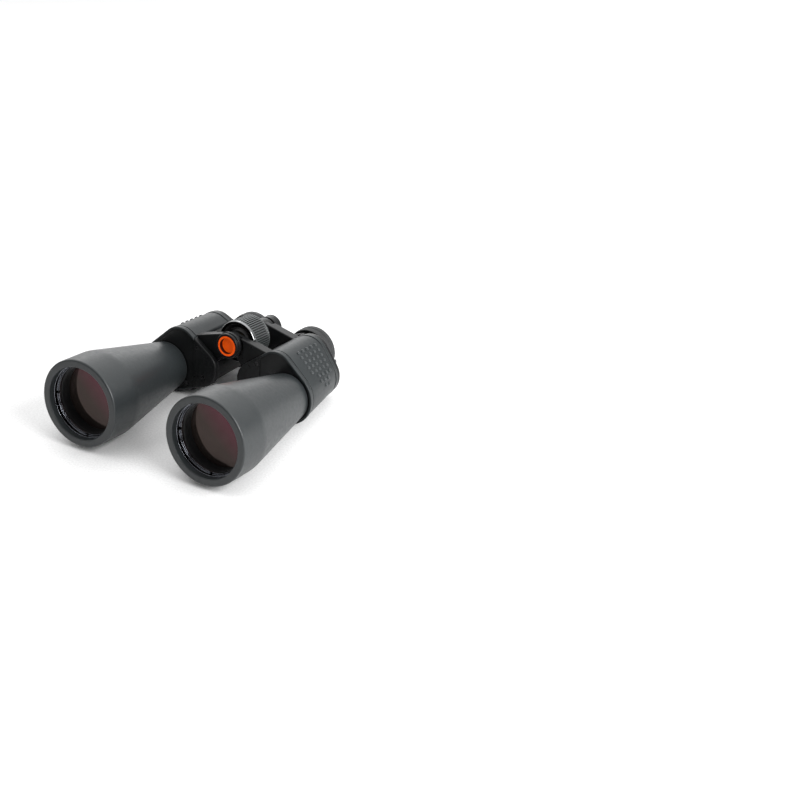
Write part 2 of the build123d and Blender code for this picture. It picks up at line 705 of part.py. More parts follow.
def bridge_arm(side):
    """Arm from the spindle's end to one eyepiece, lapped over the other arm at the hinge."""
    lug = {1: (BRIDGE_SPLIT + REST, BRIDGE_BACK), -1: (BRIDGE_FRONT, BRIDGE_SPLIT)}[side]
    relief = {1: (BRIDGE_FRONT, BRIDGE_SPLIT + REST), -1: (BRIDGE_SPLIT, BRIDGE_BACK)}[side]
    with BuildPart() as arm:
        with BuildSketch(section(BRIDGE_FRONT)):
            with Locations((0, HINGE_Z), (side * EYE_X, EYE_Z)):
                Circle(7.0)
            make_hull()
            with Locations((side * EYE_X, EYE_Z)):
                Circle(SLEEVE_RADIUS + 4.6)
        extrude(amount=BRIDGE_FRONT - BRIDGE_BACK)
        flat_faces = arm.faces().sort_by(Axis.Y)
        fillet(flat_faces[0].edges() + flat_faces[-1].edges(), radius=0.8)
        with BuildSketch(section(relief[0] - 0.01)):
            with Locations((0, HINGE_Z)):
                Circle(LUG_RADIUS + 0.4)
        extrude(amount=relief[0] - relief[1] - 0.02, mode=Mode.SUBTRACT)
        with BuildSketch(section(lug[0])):
            with Locations((0, HINGE_Z)):
                Circle(LUG_RADIUS - 0.2)
        extrude(amount=lug[0] - lug[1])
        with BuildSketch(section(BRIDGE_FRONT - 1)):
            with Locations((side * EYE_X, EYE_Z)):
                Circle(SLEEVE_RADIUS)
            with Locations((0, HINGE_Z)):
                Circle(SPINDLE_RADIUS + (RUNNING if side > 0 else 0))
        extrude(amount=BRIDGE_FRONT - BRIDGE_BACK - 2, mode=Mode.SUBTRACT)
    return arm.part


def bridge_cap():
    """Domed cap screwed on the end of the spindle, which keeps the bridge arms on it."""
    return turned(
        0,
        HINGE_Z,
        (BRIDGE_BACK + REST, 0),
        (BRIDGE_BACK + REST, 9.6),
        (BRIDGE_BACK + 0.9, 9.9),
        (BRIDGE_BACK + 1.6, 9.5),
        (BRIDGE_BACK + 2.0, 8.4),
        (BRIDGE_BACK + 2.2, 0),
    )


PAIRED = {
    "barrel_armour": barrel_armour,
    "objective_tube": objective_tube,
    "lens_cell": lens_cell,
    "retaining_ring": retaining_ring,
    "crown_lens": crown_lens,
    "flint_lens": flint_lens,
    "prism_housing": prism_housing,
    "body_armour": body_armour,
    "front_cover": front_cover,
    "rear_cover": rear_cover,
    "cover_screws": cover_screws,
    "strap_lug": strap_lug,
    "prism_shelf": prism_shelf,
    "prism_clips": prism_clips,
    "rear_prism": lambda side: porro_prism(side, *prism_seats()[0]),
    "front_prism": lambda side: porro_prism(side, *prism_seats()[1]),
    "eyepiece_sleeve": eyepiece_sleeve,
    "eyepiece_ring": eyepiece_ring,
    "ocular_barrel": ocular_barrel,
    "field_lens": field_lens,
    "eye_lens": eye_lens,
    "eyecup": eyecup,
    "bridge_arm": bridge_arm,
}
SINGLE = {
    "hinge_pin": hinge_pin,
    "tripod_socket": tripod_socket,
    "socket_cap": socket_cap,
    "cap_badge": cap_badge,
    "hinge_tube": hinge_tube,
    "focus_spindle": focus_spindle,
    "focus_nut": focus_nut,
    "wheel_hub": wheel_hub,
    "wheel_grip": wheel_grip,
    "wheel_trim": wheel_trim,
    "bridge_cap": bridge_cap,
}

for side_name, side_sign in SIDES.items():
    for piece_name, make in PAIRED.items():
        save(f"{side_name}_{piece_name}", make(side_sign))
for piece_name, make in SINGLE.items():
    save(piece_name, make())
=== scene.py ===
"""Looks of the centre-focus binoculars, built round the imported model.

Lengths are in millimetres and turned into metres where a mesh is made, but for the floor's radius and the
soft boxes, which are in metres. Y runs along the optical axes, from the objective rims (-Y) to the eyecups
(+Y), X between the barrels and Z up. Left is at +X.
"""

import json
from math import ceil, cos, hypot, pi, radians, sin, sqrt, tan

import bmesh
import bpy
from mathutils import Matrix, Vector


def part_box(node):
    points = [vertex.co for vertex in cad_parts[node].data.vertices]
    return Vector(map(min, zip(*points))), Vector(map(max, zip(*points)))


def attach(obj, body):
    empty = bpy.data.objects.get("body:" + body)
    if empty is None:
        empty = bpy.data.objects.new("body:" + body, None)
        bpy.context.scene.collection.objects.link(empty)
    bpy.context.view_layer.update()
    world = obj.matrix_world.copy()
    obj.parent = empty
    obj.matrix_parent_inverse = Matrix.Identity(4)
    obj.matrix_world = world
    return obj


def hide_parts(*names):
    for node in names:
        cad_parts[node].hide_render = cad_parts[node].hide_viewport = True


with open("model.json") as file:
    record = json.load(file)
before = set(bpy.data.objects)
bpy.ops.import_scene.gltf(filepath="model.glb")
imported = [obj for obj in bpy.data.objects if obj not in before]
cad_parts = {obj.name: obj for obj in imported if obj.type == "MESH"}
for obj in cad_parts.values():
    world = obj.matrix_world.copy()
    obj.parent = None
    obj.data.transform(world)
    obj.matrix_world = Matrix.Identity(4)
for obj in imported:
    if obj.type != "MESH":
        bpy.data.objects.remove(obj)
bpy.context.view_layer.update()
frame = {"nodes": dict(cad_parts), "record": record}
MM = 0.001
SIDES = {"left": 1, "right": -1}
HALF = {"left": "left_half", "right": "right_half"}
CARRIAGE = {"left": "left_carriage", "right": "bridge"}
OCULAR = {"left": "left_carriage", "right": "right_eyepiece"}
RING_BODY = {"left": "left_carriage", "right": "diopter_ring"}


# --- Where things are -----------------------------------------------------------------------------------
def seat(name):
    """A turned CAD node's axis (x, z), front and back stations and radius, in millimetres."""
    low, high = (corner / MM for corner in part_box(name))
    return ((low.x + high.x) / 2, (low.z + high.z) / 2), low.y, high.y, (high.x - low.x) / 2


OBJECTIVE_AXIS, RIM, FACE, RIM_RADIUS = seat("left_barrel_armour")
EYE_AXIS = seat("left_eyecup")[0]
HINGE_AXIS, CAP_FRONT, CAP_BACK, CAP_RADIUS = seat("socket_cap")
BODY_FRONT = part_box("left_body_armour")[0].y / MM
BODY_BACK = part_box("left_body_armour")[1].y / MM


# --- Mesh helpers ---------------------------------------------------------------------------------------
SHARP_EDGE = 34.0


def rounded(outline):
    """A closed outline of (y, r) or (y, r, corner radius) points, with its corners turned into arcs."""
    path = []
    count = len(outline)
    for place, point in enumerate(outline):
        here = Vector(point[:2])
        if len(point) == 2:
            path.append(here)
            continue
        before = Vector(outline[place - 1][:2]) - here
        after = Vector(outline[(place + 1) % count][:2]) - here
        half = before.angle(after) / 2
        reach = min(point[2] / tan(half), 0.48 * before.length, 0.48 * after.length)
        radius = reach * tan(half)
        centre = here + (before.normalized() + after.normalized()).normalized() * (radius / sin(half))
        turn = pi - 2 * half
        start = here + before.normalized() * reach - centre
        end = here + after.normalized() * reach - centre
        steps = max(3, ceil(turn / radians(16)))
        for step in range(steps + 1):
            share = step / steps
            spoke = (start * sin((1 - share) * turn) + end * sin(share * turn)) / sin(turn)
            path.append(centre + spoke)
    return path


def mesh_object(name, points, faces):
    """A smooth-shaded mesh object from points in millimetres, with edges above SHARP_EDGE kept."""
    mesh = bpy.data.meshes.new(name)
    mesh.from_pydata([tuple(value * MM for value in point) for point in points], [], faces)
    work = bmesh.new()
    work.from_mesh(mesh)
    bmesh.ops.remove_doubles(work, verts=work.verts, dist=1e-7)
    bmesh.ops.recalc_face_normals(work, faces=work.faces)
    work.to_mesh(mesh)
    work.free()
    mesh.shade_smooth()
    mesh.set_sharp_from_angle(angle=radians(SHARP_EDGE))
    piece = bpy.data.objects.new(name, mesh)
    bpy.context.scene.collection.objects.link(piece)
    normals = piece.modifiers.new("even_shading", "WEIGHTED_NORMAL")
    normals.keep_sharp = True
    return piece


def turned(name, axis, outline, segments=192, warp=None, angles=None):
    """A turned piece about the line through axis (x, z). warp(angle, y, r) may move each point."""
    path = rounded(outline)
    spokes = angles or [2 * pi * step / segments for step in range(segments)]
    points, rows = [], []
    for station, radius in path:
        if radius < 1e-6:
            rows.append([len(points)] * len(spokes))
            points.append((axis[0], station, axis[1]))
            continue
        rows.append(range(len(points), len(points) + len(spokes)))
        for angle in spokes:
            y, r = warp(angle, station, radius) if warp else (station, radius)
            points.append((axis[0] + r * cos(angle), y, axis[1] + r * sin(angle)))
    faces = []
    for row, following in zip(rows, rows[1:] + rows[:1]):
        for step in range(len(spokes)):
            after = (step + 1) % len(spokes)
            corners = [row[step], row[after], following[after], following[step]]
            face = [corner for place, corner in enumerate(corners) if corner != corners[place - 1]]
            if len(face) > 2:
                faces.append(face)
    return mesh_object(name, points, faces)


def stand_for(piece, name, body, material):
    """Gives a piece its body and a material, and hides the CAD node that it stands for.

    With no material of its own, the piece takes the finish of that node's slot.
    """
    slot = SLOT_OF[name]
    piece.data.materials.append(material or MATERIALS[slot])
    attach(piece, body)
    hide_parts(name)
    return piece


def fluted(count, depth, low, high, outside, soft_end=1.2):
    """A warp that cuts flutes into what lies beyond the radius outside, and fades them out at both ends."""

    def warp(angle, y, r):
        wave = 0.5 + 0.5 * cos(count * angle)
        groove = min(1.0, max(0.0, (wave - 0.32) / 0.36))
        groove = groove * groove * (3 - 2 * groove)
        ends = min(1.0, max(0.0, (y - low) / soft_end), max(0.0, (high - y) / soft_end))
        return y, r - (depth * groove * ends if r > outside else 0.0)

    return warp


# --- Materials ------------------------------------------------------------------------------------------
def node(tree, kind, inputs=None, **settings):
    """A shader node with its settings, and its inputs given as values or as sockets to link from."""
    made = tree.nodes.new("ShaderNode" + kind)
    for name, value in settings.items():
        setattr(made, name, value)
    for name, value in (inputs or {}).items():
        if isinstance(value, bpy.types.NodeSocket):
            tree.links.new(value, made.inputs[name])
        else:
            made.inputs[name].default_value = value
    return made


def scaled(colour, share):
    """A colour times a share, with full alpha."""
    return tuple(value * share for value in colour) + (1.0,)


def about_axis(tree, axis):
    """Coordinates (r, y, 0) about an axis at (|x|, z), so that a noise on them makes turning marks."""
    place = node(tree, "TexCoord").outputs["Object"]
    parts = node(tree, "SeparateXYZ", {0: place})
    across = node(tree, "Math", {0: parts.outputs["X"]}, operation="ABSOLUTE").outputs[0]
    from_x = node(tree, "Math", {0: across, 1: axis[0] * MM}, operation="SUBTRACT").outputs[0]
    from_z = node(tree, "Math", {0: parts.outputs["Z"], 1: axis[1] * MM}, operation="SUBTRACT").outputs[0]
    flat = node(tree, "CombineXYZ", {0: from_x, 1: from_z})
    radius = node(tree, "VectorMath", {0: flat.outputs[0]}, operation="LENGTH").outputs["Value"]
    return radius, node(tree, "CombineXYZ", {0: radius, 1: parts.outputs["Y"]}).outputs[0]


def noise(tree, place, size, detail=3.0, roughness=0.55):
    """Noise with features of the given size in millimetres."""
    inputs = {"Vector": place, "Scale": 1 / (size * MM), "Detail": detail, "Roughness": roughness}
    return node(tree, "TexNoise", inputs).outputs["Fac"]


def spread(tree, value, low, high, from_low=0.3, from_high=0.7):
    """A value remapped and held between low and high. The standard range is where noise mostly lies."""
    inputs = {"Value": value, "From Min": from_low, "From Max": from_high, "To Min": low, "To Max": high}
    return node(tree, "MapRange", inputs).outputs[0]


def mixed(tree, share, first, second):
    """A colour between two, by a share socket."""
    made = node(tree, "Mix", data_type="RGBA")
    tree.links.new(share, made.inputs["Factor"])
    for place, colour in ((6, first), (7, second)):
        if isinstance(colour, bpy.types.NodeSocket):
            tree.links.new(colour, made.inputs[place])
        else:
            made.inputs[place].default_value = colour
    return made.outputs[2]


def surface(name, colour, roughness, grain, depth, mottle=0.12, swing=0.06, axis=None, metallic=0.0,
            cells=0.0, edges=0.0, **sockets):
    """A procedural finish: grain (mm) raised by depth (mm), cloudy tone and gloss, and pits a shade darker.

    axis makes the grain run round that (x, z) axis as turning marks. cells adds a pebbled leather grain of
    that size in mm, and edges rounds sharp edges by that radius in mm. Other keywords are sockets of the
    shader, with _ for each space.
    """
    material = bpy.data.materials.new(name)
    material.use_nodes = True
    tree = material.node_tree
    shader = tree.nodes["Principled BSDF"]
    place = node(tree, "TexCoord").outputs["Object"]
    grain_place = about_axis(tree, axis)[1] if axis else place
    fine = noise(tree, grain_place, grain, 4.0)
    cloud = noise(tree, place, 17.0, 5.0)
    blotch = noise(tree, place, 3.1, 4.0, 0.65)
    tone = mixed(tree, spread(tree, cloud, 0.0, 1.0), scaled(colour, 1 - mottle), scaled(colour, 1 + mottle))
    pitted = mixed(tree, spread(tree, fine, 0.35, 0.0), tone, scaled(colour, 0.55))
    tree.links.new(pitted, shader.inputs["Base Color"])
    gloss = spread(tree, blotch, roughness - swing, roughness + swing)
    tree.links.new(gloss, shader.inputs["Roughness"])
    height = fine
    if cells:
        pebbles = node(tree, "TexVoronoi", {"Vector": place, "Scale": 1 / (cells * MM)}, feature="SMOOTH_F1")
        bumps = spread(tree, pebbles.outputs["Distance"], 1.0, 0.0, 0.1, 0.75)
        height = node(tree, "Math", {0: bumps, 1: fine}, operation="ADD").outputs[0]
    bump = node(tree, "Bump", {"Height": height, "Strength": 1.0, "Distance": depth * MM})
    if edges:
        eased = node(tree, "Bevel", {"Radius": edges * MM}, samples=6).outputs[0]
        tree.links.new(eased, bump.inputs["Normal"])
    tree.links.new(bump.outputs[0], shader.inputs["Normal"])
    shader.inputs["Metallic"].default_value = metallic
    for socket, value in sockets.items():
        shader.inputs[socket.replace("_", " ")].default_value = value
    return material


def coated_glass(name, axis, radius, centre, edge, tint, reflect, inner_curve=None, metallic=0.0):
    """A dark lens in its mount, with faint wiping marks: a painted reflection deepens its tint to the upper
    outer edge.

    inner_curve is the radius in mm of the cemented face inside, which is what most of the light bounces off.
    """
    material = bpy.data.materials.new(name)
    material.use_nodes = True
    tree = material.node_tree
    shader = tree.nodes["Principled BSDF"]
    ringed = about_axis(tree, axis)[1]
    place = node(tree, "TexCoord").outputs["Object"]
    lowered = node(tree, "VectorMath", {0: place, 1: (0, 0, axis[1] * MM)}, operation="SUBTRACT")
    parts = node(tree, "SeparateXYZ", {0: lowered.outputs["Vector"]})
    side = node(tree, "Math", {0: parts.outputs["X"]}, operation="SIGN").outputs[0]
    middle = node(tree, "Math", {0: side, 1: axis[0] * MM}, operation="MULTIPLY").outputs[0]
    across = node(tree, "Math", {0: parts.outputs["X"], 1: middle}, operation="SUBTRACT").outputs[0]
    from_axis = node(tree, "CombineXYZ", {"X": across, "Z": parts.outputs["Z"]}).outputs[0]
    # The tint leans to the upper outer side of each lens: a painted reflection.
    painted_reflection_lean = node(tree, "VectorMath", {0: from_axis, 1: (0.7, 0.0, 0.71)}, operation="DOT_PRODUCT")
    share = spread(tree, painted_reflection_lean.outputs["Value"], 0.0, 1.0, -0.25 * radius * MM, 0.9 * radius * MM)
    haze = noise(tree, place, 9.0, 5.0)
    tone = mixed(tree, share, centre + (1.0,), edge + (1.0,))
    clouded = mixed(tree, spread(tree, haze, 0.0, 0.12), tone, scaled(tint, 0.08))
    tree.links.new(clouded, shader.inputs["Base Color"])
    tree.links.new(spread(tree, noise(tree, ringed, 1.3, 3.0), 0.012, 0.05), shader.inputs["Roughness"])
    if inner_curve:
        bend = node(tree, "VectorMath", {0: from_axis, 3: -1000 / inner_curve}, operation="SCALE").outputs[0]
        bowl = node(tree, "VectorMath", {0: bend, 1: (0, -1, 0)}, operation="ADD").outputs[0]
        facing = node(tree, "VectorTransform", {0: bowl}, vector_type="NORMAL", convert_from="OBJECT",
                      convert_to="WORLD")
        tree.links.new(facing.outputs[0], shader.inputs["Normal"])
    shader.inputs["Metallic"].default_value = metallic
    shader.inputs["IOR"].default_value = 1.52
    shader.inputs["Specular IOR Level"].default_value = reflect
    shader.inputs["Specular Tint"].default_value = tint + (1.0,)
    return material


def clear_glass(name):
    """Uncoated optical glass of the hidden lenses and prisms, with faintly ground edges."""
    material = surface(name, (0.9, 0.93, 0.92), 0.05, 0.4, 0.001, mottle=0.02, swing=0.03)
    shader = material.node_tree.nodes["Principled BSDF"]
    shader.inputs["Transmission Weight"].default_value = 1.0
    shader.inputs["IOR"].default_value = 1.52
    return material


def banded(material, axis, bands, colour):
    """Repaints a finish in rings round an axis: each band is (radius, half width, softness) in mm."""
    tree = material.node_tree
    shader = tree.nodes["Principled BSDF"]
    radius = about_axis(tree, axis)[0]
    share = None
    for middle, half, soft in bands:
        off = node(tree, "Math", {0: radius, 1: middle * MM}, operation="SUBTRACT").outputs[0]
        off = node(tree, "Math", {0: off}, operation="ABSOLUTE").outputs[0]
        band = spread(tree, off, 1.0, 0.0, half * MM, (half + soft) * MM)
        share = node(tree, "Math", {0: share, 1: band}, operation="MAXIMUM").outputs[0] if share else band
    painted = shader.inputs["Base Color"].links[0].from_socket
    tree.links.new(mixed(tree, share, painted, colour + (1.0,)), shader.inputs["Base Color"])
    return material


DISH_RADIUS = 6.5
DISH_DEEPER = 0.75
BADGE_RADIUS = 8.5
LENS_EDGE = 28.4
EYE_LENS_EDGE = 10.2
LIP_INNER = 29.8
WHEEL_RADIUS = seat("wheel_grip")[3]
TRIM_LIP = 0.8
# Ring down in the wheel's grooves that is painted near black as shade.
WHEEL_GROOVE_SHADE = ((WHEEL_RADIUS - 1.4, 0.85, 0.3),)
# Ring on the chrome ring's sunken face that is painted near black as shade.
TRIM_FACE = ((WHEEL_RADIUS - TRIM_LIP - 1.0, 1.0, 0.1),)
# Rings at the edges of the tube's flange and the lock ring, painted bright grey as highlights.
PAINTED_EDGE_HIGHLIGHTS = ((LIP_INNER - 0.35, 0.12, 0.12), (LENS_EDGE + 0.1, 0.1, 0.12), (LENS_EDGE + 1.3, 0.1, 0.12))
# Near black painted as shade down in the wheel's grooves.
GROOVE_PAINTED_SHADE = (0.003, 0.003, 0.003)
# Near black painted as shade on the chrome ring's sunken face.
TRIM_PAINTED_SHADE = (0.012, 0.012, 0.012)
# Bright grey of the painted highlights along those edges.
PAINTED_HIGHLIGHT_GREY = (0.26, 0.27, 0.3)


def badge_orange_painted_glow():
    """Glossy orange plastic of the dish with a painted glow, and painted near black as shade down its sloping
    wall.
    """
    material = surface("badge_orange_painted_glow", (0.95, 0.1, 0.003), 0.42, 0.6, 0.004, mottle=0.05,
                       Specular_IOR_Level=0.25, Emission_Strength=0.3)
    # The sloping wall of the dish is painted near black as shade.
    banded(material, HINGE_AXIS, ((DISH_RADIUS + 0.1, 0.16, 0.06),), (0.02, 0.002, 0.001))
    tree = material.node_tree
    shader = tree.nodes["Principled BSDF"]
    painted = shader.inputs["Base Color"].links[0].from_socket
    # The orange colour also feeds the emission, so the dish glows: a painted glow.
    tree.links.new(painted, shader.inputs["Emission Color"])
    return material


def wheel_rubber():
    """Grey rubber on top of the ribs, painted near black down in the grooves as shade."""
    rubber = surface("wheel_rubber", (0.055, 0.061, 0.062), 0.36, 0.25, 0.01)
    return banded(rubber, HINGE_AXIS, WHEEL_GROOVE_SHADE, GROOVE_PAINTED_SHADE)


def bright_chrome():
    """Smoked chrome, painted near black as shade on the sunken face inside the lip."""
    chrome = surface("bright_chrome", (0.3, 0.305, 0.31), 0.16, 0.1, 0.001, mottle=0.03, swing=0.03,
                     axis=HINGE_AXIS, metallic=1.0)
    return banded(chrome, HINGE_AXIS, TRIM_FACE, TRIM_PAINTED_SHADE)


def ring_black():
    """Blackened metal of the rings before the lens, with painted highlights as bright grey lines along their
    edges.
    """
    metal = surface("ring_black", (0.03, 0.031, 0.033), 0.22, 0.3, 0.0006, swing=0.03, axis=OBJECTIVE_AXIS,
                    metallic=1.0)
    return banded(metal, OBJECTIVE_AXIS, PAINTED_EDGE_HIGHLIGHTS, PAINTED_HIGHLIGHT_GREY)


def alloy_paint():
    """Satin black paint of the castings and covers, a little rounded over their edges."""
    return surface("painted_alloy", (0.008, 0.0085, 0.009), 0.32, 0.42, 0.014, mottle=0.2, edges=0.6,
                   Specular_IOR_Level=0.26)


def objective_coating():
    """Grey-brown lens with a painted plum reflection towards its upper outer edge."""
    return coated_glass("coated_glass", OBJECTIVE_AXIS, LENS_EDGE, (0.044, 0.033, 0.029),
                        (0.11, 0.019, 0.041), (1.0, 0.8, 0.78), 0.2, inner_curve=125.0, metallic=0.5)


MATERIALS = {
    "barrel_rubber": surface("barrel_rubber", (0.018, 0.0215, 0.023), 0.4, 0.32, 0.012, mottle=0.05),
    "body_rubber": surface("body_rubber", (0.015, 0.0185, 0.02), 0.4, 0.3, 0.008, mottle=0.06, cells=0.55,
                           Specular_IOR_Level=0.36),
    "eyecup_rubber": surface("eyecup_rubber", (0.018, 0.019, 0.02), 0.6, 0.25, 0.02, mottle=0.15),
    "wheel_rubber": wheel_rubber(),
    "painted_alloy": alloy_paint(),
    "tube_alloy": surface("tube_alloy", (0.02, 0.02, 0.021), 0.3, 0.2, 0.004, axis=OBJECTIVE_AXIS),
    "black_anodised": surface("black_anodised", (0.012, 0.012, 0.013), 0.34, 0.12, 0.004),
    "ring_anodised": surface("ring_anodised", (0.02, 0.02, 0.021), 0.26, 0.12, 0.004),
    "blackened_steel": surface("blackened_steel", (0.09, 0.09, 0.094), 0.3, 0.2, 0.005, metallic=0.8),
    "spring_steel": surface("spring_steel", (0.45, 0.45, 0.46), 0.3, 0.12, 0.003, axis=HINGE_AXIS,
                            metallic=1.0),
    "socket_brass": surface("socket_brass", (0.16, 0.12, 0.06), 0.4, 0.14, 0.004, axis=HINGE_AXIS,
                            metallic=1.0),
    "cap_plastic": surface("cap_plastic", (0.008, 0.0085, 0.009), 0.3, 0.5, 0.008, mottle=0.15,
                           Specular_IOR_Level=0.22),
    "orange_plastic": badge_orange_painted_glow(),
    "bright_chrome": bright_chrome(),
    "coated_glass": objective_coating(),
    "clear_glass": clear_glass("clear_glass"),
}
# The eye lens's tint also deepens to its upper outer edge as a painted reflection.
EYE_GLASS = coated_glass("eye_glass", EYE_AXIS, EYE_LENS_EDGE, (0.004, 0.008, 0.009), (0.01, 0.03, 0.035),
                         (0.75, 0.95, 1.0), 0.5)
CELL_BLACK = surface("cell_black", (0.008, 0.008, 0.0085), 0.42, 0.15, 0.004, axis=OBJECTIVE_AXIS)
RING_BLACK = ring_black()
EYE_BLACK = surface("eyepiece_black", (0.012, 0.012, 0.013), 0.34, 0.1, 0.003, axis=EYE_AXIS,
                    Specular_IOR_Level=0.25)
# The studs' rubber is a lighter copy of the armour's: a painted highlight.
STUD_PAINTED_HIGHLIGHT_RUBBER = surface("stud_rubber_painted_highlight", (0.026, 0.031, 0.033), 0.34, 0.3, 0.006, mottle=0.06)
SLOT_OF = {row["node"]: row["material_slot"] for row in frame["record"]["subparts"]}


def dress_frame():
    """Every CAD node gets the finish of its slot."""
    for name, cad in frame["nodes"].items():
        cad.data.materials.clear()
        cad.data.materials.append(MATERIALS[SLOT_OF[name]])


# --- Objective end --------------------------------------------------------------------------------------
CLEAR = 0.05
LIP_DEPTH = seat("left_objective_tube")[1] - RIM
CREASE = RIM + 28.0
NECK_RADIUS = 20.3
RUBBER = 1.8
CELL_OUTER = 32.0
SPANNER_SLOTS = 4


def mirrored(axis, side):
    """The same axis on the other side of the hinge, when side is right."""
    return (SIDES[side] * abs(axis[0]), axis[1])


def barrel_skin(side):
    """Rubber skin: a hood with a thick rounded lip, a soft crease, and the cone down to the housing."""
    bed = RIM + LIP_DEPTH - CLEAR
    outline = (
        (RIM, LIP_INNER, 0.8),
        (RIM, RIM_RADIUS, 1.5),
        (CREASE, RIM_RADIUS, 34.0),
        (FACE, NECK_RADIUS, 0.3),
        (FACE, NECK_RADIUS - RUBBER),
        (CREASE - 1, RIM_RADIUS - RUBBER),
        (bed, RIM_RADIUS - RUBBER),
        (bed, LIP_INNER, 0.5),
    )
    piece = turned(f"{side}_barrel_skin", mirrored(OBJECTIVE_AXIS, side), outline, 256)
    return stand_for(piece, f"{side}_barrel_armour", HALF[side], None)


def barrel_tube(side):
    """Alloy tube with the flange that shows behind the rubber lip, its edge lit by a painted highlight."""
    front = RIM + LIP_DEPTH
    back = seat(f"{side}_objective_tube")[2]
    wall = 1.7
    flange, flange_inner = 0.8, LIP_INNER - 0.45
    wide, neck = RIM_RADIUS - RUBBER - CLEAR, NECK_RADIUS - RUBBER - 2 * CLEAR
    outline = (
        (front, flange_inner, 0.25),
        (front, wide),
        (CREASE - 1.2, wide),
        (FACE, neck),
        (back, neck, 0.2),
        (back, neck - wall),
        (FACE, neck - wall),
        (CREASE + 5.5, CELL_OUTER),
        (front + flange, CELL_OUTER),
        (front + flange, flange_inner, 0.25),
    )
    piece = turned(f"{side}_barrel_tube", mirrored(OBJECTIVE_AXIS, side), outline, 256)
    return stand_for(piece, f"{side}_objective_tube", HALF[side], RING_BLACK)


def slot_angles(slots, half_width, steps):
    """Spoke angles with a pair close together at each wall of the slots, so that the walls stand square."""
    gap = radians(0.12)
    angles = [2 * pi * step / steps for step in range(steps)]
    for slot in range(slots):
        middle = 2 * pi * slot / slots
        for wall in (middle - half_width, middle + half_width):
            angles = [a for a in angles if abs((a - wall + pi) % (2 * pi) - pi) > radians(0.7)]
            angles += [(wall - gap) % (2 * pi), (wall + gap) % (2 * pi)]
    return sorted(angles)


def lock_ring(side):
    """Threaded ring that locks the cell: a stepped front face with four spanner slots."""
    axis, front, back, outer = seat(f"{side}_retaining_ring")
    inner = outer - 3.4
    half_width = 1.1 / outer
    slot_depth = 1.4

    def slotted(angle, y, r):
        offset = (angle + pi / SPANNER_SLOTS) % (2 * pi / SPANNER_SLOTS) - pi / SPANNER_SLOTS
        return (max(y, front + slot_depth) if abs(offset) < half_width else y), r

    outline = (
        (front + 0.9, inner, 0.2),
        (front + 0.9, inner + 1.1, 0.1),
        (front, inner + 1.3, 0.25),
        (front, outer, 0.3),
        (back, outer),
        (back, inner, 0.2),
    )
    angles = slot_angles(SPANNER_SLOTS, half_width, 192)
    piece = turned(f"{side}_lock_ring", axis, outline, warp=slotted, angles=angles)
    return stand_for(piece, f"{side}_retaining_ring", HALF[side], RING_BLACK)


def lens_outline(front, back, radius, front_curve, back_curve, steps):
    """Outline of a lens that bulges on both faces, from its vertex stations and its curves' radii."""

    def sag(curve, r):
        return curve - sqrt(curve * curve - r * r)

    rim = [radius * step / steps for step in range(steps + 1)]
    outline = [(front + sag(front_curve, r), r) for r in rim]
    return outline + [(back - sag(back_curve, r), r) for r in reversed(rim)]


def light_trap(side):
    """Lens cell whose wall in front of the glass is ridged against stray light."""
    axis, front, back, outer = seat(f"{side}_lens_cell")
    glass_front = seat(f"{side}_crown_lens")[1]
    ridge = 0.8
    tip, root = LENS_EDGE - 0.6, LENS_EDGE - 0.1
    lip = glass_front + 1.2
    ridges = int((lip - front) / ridge)
    wall = []
    for step in range(ridges):
        start = lip - step * ridge
        wall += [(start, tip), (start - 0.25, tip), (start - 0.4, root), (start - ridge + 0.15, root)]
    outline = [(front, outer - 0.1), (back, outer - 0.1), (back, LENS_EDGE - 1.7)]
    outline += [(back - 2.3, LENS_EDGE - 1.7), (back - 2.3, LENS_EDGE + 0.05), (lip, LENS_EDGE + 0.05)]
    outline += wall + [(front, root)]
    piece = turned(f"{side}_light_trap", axis, outline, 192)
    return stand_for(piece, f"{side}_lens_cell", HALF[side], CELL_BLACK)


def crown_glass(side):
    """Front lens, bulging on both faces."""
    axis, front, _, radius = seat(f"{side}_crown_lens")
    thickness = 8.0
    outline = lens_outline(front, front + thickness, radius, 240.0, 150.0, 24)
    piece = turned(f"{side}_crown_glass", axis, outline, 192)
    return stand_for(piece, f"{side}_crown_lens", HALF[side], None)


# --- Armour of the prism housing ------------------------------------------------------------------------
# The housing's outline wraps three circles (x, z, radius), at its front and at its back.
FRONT_LOBES = ((60.0, 36.0, 23.5), (48.0, 54.8, 17.3), (27.5, 40.5, 17.2))
REAR_LOBES = ((57.5, 39.5, 18.3), (48.0, 55.0, 17.3), (31.0, 44.0, 19.8))
SKIN = 1.7
BEAD_WIDTH = 4.6
PANEL_INSET = 0.3
SKIRT_INNER_X = 33.0
STUD_RADIUS, STUD_HEIGHT = 1.6, 0.95
STUD_COLUMNS, STUD_PITCH_Y, STUD_PITCH_ROUND = 5, 6.4, 4.85
# The first column of studs in each row, and the one after its last.
STUD_ROWS = ((0, 5), (0, 5), (0, 5), (0, 5), (0, 5), (1, 5), (1, 4), (2, 4))


def hull_point(lobes, angle):
    """Where the hull of three circles is touched by a line square to a direction."""
    way = (cos(angle), sin(angle))
    x, z, radius = max(lobes, key=lambda lobe: lobe[0] * way[0] + lobe[1] * way[1] + lobe[2])
    return x + radius * way[0], z + radius * way[1]


def lobes_at(y, inset):
    """The housing's three lobes at a station, drawn in by inset."""
    share = (y - BODY_FRONT) / (BODY_BACK - BODY_FRONT)
    return [
        (a[0] + (b[0] - a[0]) * share, a[1] + (b[1] - a[1]) * share, a[2] + (b[2] - a[2]) * share - inset)
        for a, b in zip(FRONT_LOBES, REAR_LOBES)
    ]


